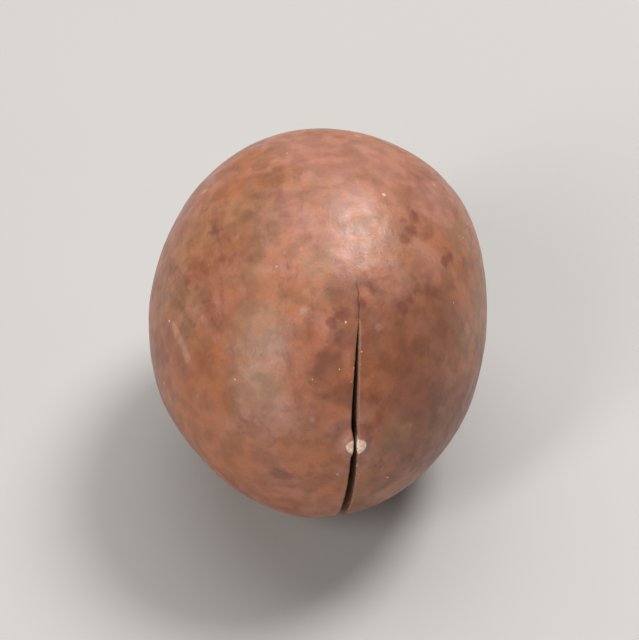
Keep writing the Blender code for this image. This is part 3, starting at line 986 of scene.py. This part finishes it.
def made_by(tree, name, mesh, values):
    """A plain mesh object that a Geometry Nodes tree makes from a mesh."""
    made = added(name, mesh)
    modifier = made.modifiers.new(tree.name, "NODES")
    modifier.node_group = tree
    sockets = {item.name: item.identifier for item in tree.interface.items_tree if item.in_out == "INPUT"}
    for label, value in values.items():
        modifier[sockets[label]] = value
    evaluated = made.evaluated_get(bpy.context.evaluated_depsgraph_get())
    plain = bpy.data.meshes.new_from_object(evaluated)
    made.modifiers.clear()
    made.data = plain
    if not plain.polygons:
        raise RuntimeError(f"{name} came out empty")
    return made


class NUT_OT_shell(bpy.types.Operator):
    """Builds the shell with its slit, pore and scar"""

    bl_idname = "nut.shell"
    bl_label = "Shell"

    def execute(self, context):
        settings = context.scene.nut_shell
        points, faces, zones = shell_grid(settings)
        points[:, 2] = np.maximum(points[:, 2], 0)
        mesh = bpy.data.meshes.new("nut_shell")
        mesh.from_pydata(points, [], faces)
        mesh.polygons.foreach_set("material_index", zones)
        work = bmesh.new()
        work.from_mesh(mesh)
        bmesh.ops.remove_doubles(work, verts=work.verts, dist=MERGE)
        bmesh.ops.delete(work, geom=[v for v in work.verts if not v.link_faces], context="VERTS")
        bmesh.ops.recalc_face_normals(work, faces=work.faces)
        open_edges = [edge for edge in work.edges if not edge.is_manifold]
        work.to_mesh(mesh)
        work.free()
        if open_edges:
            raise RuntimeError(f"the shell has {len(open_edges)} open edges")
        mark_places(mesh)
        mesh.shade_smooth()
        for finish in (skin_finish(settings), cut_finish(), lining_finish()):
            mesh.materials.append(finish)
        shell = added("nut_shell", mesh)
        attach(shell, "root")
        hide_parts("shell")
        return {"FINISHED"}


class NUT_OT_kernel(bpy.types.Operator):
    """Builds the loose kernel inside the shell"""

    bl_idname = "nut.kernel"
    bl_label = "Kernel"

    def execute(self, context):
        settings = context.scene.nut_kernel
        values = {
            "Half sizes": (KERNEL_HALF_LENGTH, KERNEL_HALF_WIDTH, KERNEL_HALF_HEIGHT),
            "Centre": tuple(KERNEL_CENTRE),
            "Tip": KERNEL_TIP,
            "Tip spread": KERNEL_TIP_SPREAD,
            "Seam": settings.seam,
            "Dimples": settings.dimples,
            "Finish": kernel_finish(settings),
        }
        kernel = made_by(kernel_tree(), "nut_kernel", bpy.data.meshes.new("nut_kernel"), values)
        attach(kernel, "root")
        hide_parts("kernel")
        return {"FINISHED"}


def skin_copy(name, where):
    """The outer faces of the shell, with a mark from 0 to 1 that says where bits may lie."""
    work = bmesh.new()
    work.from_mesh(bpy.data.objects["nut_shell"].data)
    inside = [face for face in work.faces if face.material_index == LINING]
    bmesh.ops.delete(work, geom=inside, context="FACES")
    mesh = bpy.data.meshes.new(name)
    work.to_mesh(mesh)
    work.free()
    store(mesh, "where", where(points_of(mesh)))
    return mesh


def fleck_places(points):
    """Flecks lie anywhere but on the slit and the flat spot."""
    distance = from_slit(points)[3]
    return (np.abs(distance) > FLECK_CLEARANCE) * (points[:, 2] > FLECK_LOWEST)


def crumb_places(points):
    """Crumbs cling to the slit's edges, near the skin."""
    rays, reach, along, distance = from_slit(points)
    off_edge = np.abs(distance) - slit_half_width(along)
    shallow = reach > body_radius(rays) - CRUMB_DEPTH
    inside = (along > SLIT_BOTTOM) * (along < SLIT_TOP)
    return bump(off_edge, CRUMB_SPREAD) * shallow * inside


class NUT_OT_flecks(bpy.types.Operator):
    """Scatters pale flecks over the skin"""

    bl_idname = "nut.flecks"
    bl_label = "Flecks"

    def execute(self, context):
        settings = context.scene.nut_bits
        area = 4 * math.pi * HALF_WIDTH * HALF_LENGTH
        values = {
            "Spacing": FLECK_SPACING,
            "Density": settings.flecks / area,
            "Size": settings.fleck_size,
            "Flatness": FLECK_FLATNESS,
            "Seed": settings.seed,
            "Finish": bit_finish("pale_flecks", FLECK_PALE, FLECK_DARK),
        }
        flecks = made_by(scatter_tree(), "skin_flecks", skin_copy("skin_flecks", fleck_places), values)
        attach(flecks, "root")
        return {"FINISHED"}


class NUT_OT_crumbs(bpy.types.Operator):
    """Scatters saw crumbs along the slit's edges"""

    bl_idname = "nut.crumbs"
    bl_label = "Crumbs"

    def execute(self, context):
        settings = context.scene.nut_bits
        area = 4 * HALF_LENGTH * CRUMB_BAND
        values = {
            "Spacing": CRUMB_SPACING,
            "Density": settings.crumbs / area,
            "Size": settings.crumb_size,
            "Flatness": CRUMB_FLATNESS,
            "Seed": settings.seed + 10,
            "Finish": bit_finish("saw_crumbs", CRUMB_PALE, CRUMB_DARK),
        }
        crumbs = made_by(scatter_tree(), "saw_crumbs", skin_copy("saw_crumbs", crumb_places), values)
        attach(crumbs, "root")
        return {"FINISHED"}


def camera_axes(azimuth, elevation):
    """The camera's right, up and backward directions."""
    right = Vector((math.cos(azimuth), math.sin(azimuth), 0))
    level = math.cos(elevation)
    back = Vector((math.sin(azimuth) * level, -math.cos(azimuth) * level, math.sin(elevation)))
    return right, back.cross(right), back


def aimed(name, data, target, towards, distance):
    """A light or camera this far from a point and looking at it."""
    made = added(name, data)
    made.location = target + towards * distance
    made.rotation_mode = "QUATERNION"
    made.rotation_quaternion = (-towards).to_track_quat("-Z", "Y")
    return made


def area_light(name, target, towards, distance, size, power, colour):
    """An oval soft light, so wide and so high, that looks at a point."""
    data = bpy.data.lights.new(name, "AREA")
    data.shape = "ELLIPSE"
    data.size, data.size_y = size
    data.energy = power
    data.color = colour
    aimed(name, data, target, towards.normalized(), distance)


class NUT_OT_stage(bpy.types.Operator):
    """Sets the floor, the soft light and the camera"""

    bl_idname = "nut.stage"
    bl_label = "Stage"

    def execute(self, context):
        settings = context.scene.nut_stage
        middle = (CAD_LOW + CAD_HIGH) / 2
        right, up, back = camera_axes(settings.azimuth, settings.elevation)

        floor_mesh = bpy.data.meshes.new("floor")
        work = bmesh.new()
        bmesh.ops.create_circle(work, cap_ends=True, segments=128, radius=FLOOR_RADIUS)
        work.to_mesh(floor_mesh)
        work.free()
        floor_finish, tree, shader, place = new_material("floor", 0.65)
        soft = ranged(tree, cloud(tree, place, 60.0), 0.3, 0.7)
        dimmer = tuple(0.98 * value for value in settings.floor)
        tree.links.new(mixed(tree, soft, settings.floor, dimmer), shader.inputs["Base Color"])
        floor_mesh.materials.append(floor_finish)
        floor = added("floor", floor_mesh)

        for name, ((x, y, z), *light) in LIGHTS.items():
            area_light(name, middle, right * x + up * y + back * z, *light)
        context.scene.view_settings.view_transform = "Standard"
        world = bpy.data.worlds.new("studio")
        world.use_nodes = True
        background = world.node_tree.nodes["Background"].inputs
        background["Color"].default_value = ROOM_COLOUR
        background["Strength"].default_value = ROOM_LIGHT
        context.scene.world = world

        lens = bpy.data.cameras.new("camera")
        lens.lens = LENS_LENGTH
        lens.sensor_width = SENSOR_WIDTH
        lens.clip_start = NEAREST_VIEW
        corners = [Vector(corner) - middle for corner in product(*zip(CAD_LOW, CAD_HIGH))]
        tall = NUT_IN_BOX * 2 * max(corner.dot(up) for corner in corners)
        distance = tall / settings.fill * LENS_LENGTH / SENSOR_WIDTH
        context.scene.camera = aimed("camera", lens, middle, back, distance)
        return {"FINISHED"}


class NUT_PT_panel(bpy.types.Panel):
    """Buttons and settings for the nut"""

    bl_idname = "NUT_PT_panel"
    bl_label = "Macadamia nut"
    bl_space_type = "VIEW_3D"
    bl_region_type = "UI"
    bl_category = "Nut"

    def draw(self, context):
        for group, *operators in (
            ("nut_shell", "nut.shell"),
            ("nut_kernel", "nut.kernel"),
            ("nut_bits", "nut.flecks", "nut.crumbs"),
            ("nut_stage", "nut.stage"),
        ):
            settings = getattr(context.scene, group)
            box = self.layout.box()
            for name in settings.bl_rna.properties.keys():
                if name not in ("rna_type", "name"):
                    box.prop(settings, name)
            for operator in operators:
                box.operator(operator)


SETTINGS = {
    "nut_shell": ShellSettings,
    "nut_kernel": KernelSettings,
    "nut_bits": BitSettings,
    "nut_stage": StageSettings,
}
CLASSES = (
    *SETTINGS.values(),
    NUT_OT_shell,
    NUT_OT_kernel,
    NUT_OT_flecks,
    NUT_OT_crumbs,
    NUT_OT_stage,
    NUT_PT_panel,
)


def register():
    for kind in CLASSES:
        bpy.utils.register_class(kind)
    for name, kind in SETTINGS.items():
        setattr(bpy.types.Scene, name, PointerProperty(type=kind))


def unregister():
    for name in SETTINGS:
        delattr(bpy.types.Scene, name)
    for kind in reversed(CLASSES):
        bpy.utils.unregister_class(kind)


def main():
    register()
    bpy.ops.nut.shell()
    bpy.ops.nut.kernel()
    bpy.ops.nut.flecks()
    bpy.ops.nut.crumbs()
    bpy.ops.nut.stage()


if __name__ == "__main__":
    main()
